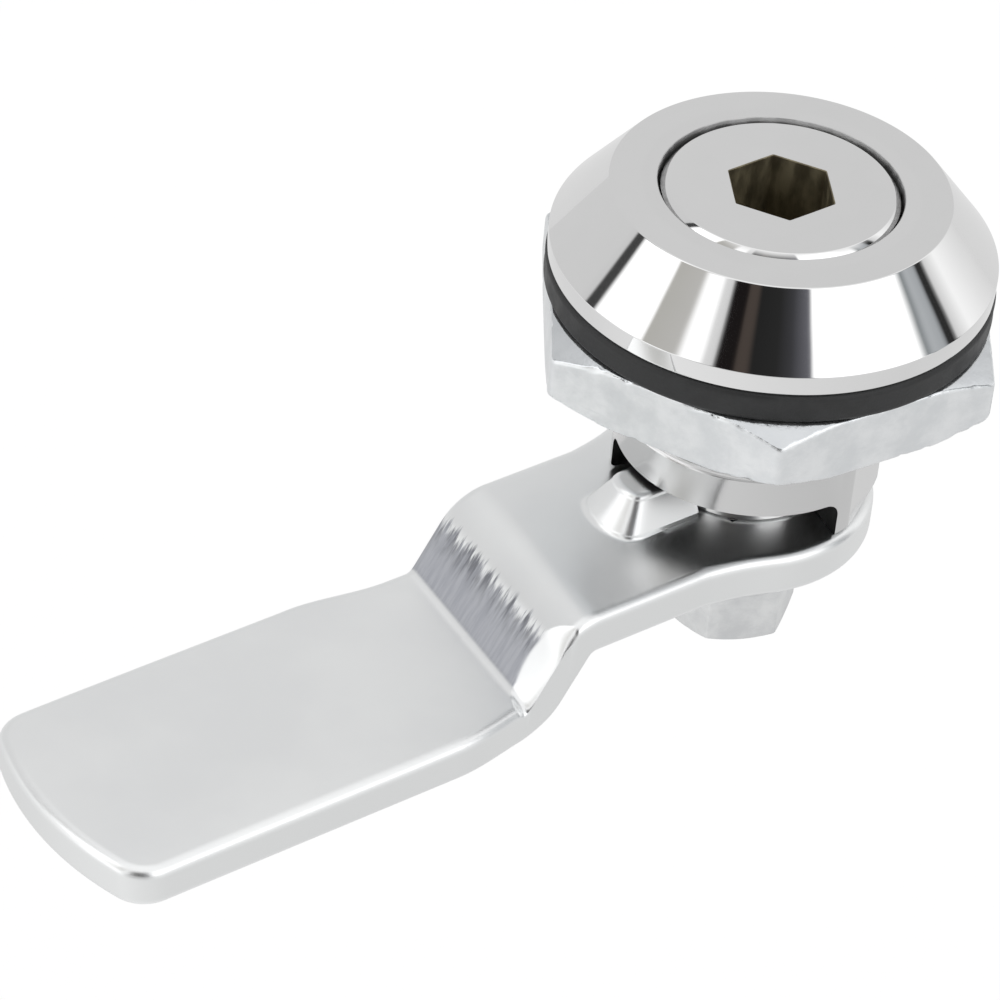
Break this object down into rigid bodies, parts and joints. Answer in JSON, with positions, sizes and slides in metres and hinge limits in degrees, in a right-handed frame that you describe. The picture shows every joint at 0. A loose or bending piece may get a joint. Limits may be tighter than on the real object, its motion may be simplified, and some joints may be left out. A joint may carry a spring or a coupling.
{
  "type": "quarter-turn cam lock",
  "caption": "Panel lock with a conical head, hex key socket and clamp nut; a quarter turn swings a cranked cam between the stops of its barrel.",
  "frame": {"origin": "on the lock's axis, in the sealing face under the head", "axes": "+Z along the axis towards the key side, +X along the cam's arm in the pose of the picture"},
  "size_m": [0.0682, 0.0286, 0.0332],
  "materials": {
    "bright_chrome": "polished chrome plate on zinc die casting",
    "plated_cam": "bright plate with a soft tumbled surface",
    "zinc_plate": "satin zinc plate on steel",
    "black_rubber": "plain moulded rubber"
  },
  "bodies": {
    "housing": {"housing": "bright_chrome", "gasket": "black_rubber", "hex_nut": "zinc_plate"},
    "spindle": {"spindle": "bright_chrome", "spindle_seal": "black_rubber", "cam": "plated_cam", "flat_washer": "zinc_plate", "spring_washer": "zinc_plate", "cam_bolt": "zinc_plate"}
  },
  "joints": [
    {"name": "quarter_turn", "type": "hinge", "parent": "housing", "child": "spindle", "pos_m": [0, 0, 0], "axis": [0, 0, 1], "range_deg": [-13.3, 76.7]}
  ]
}
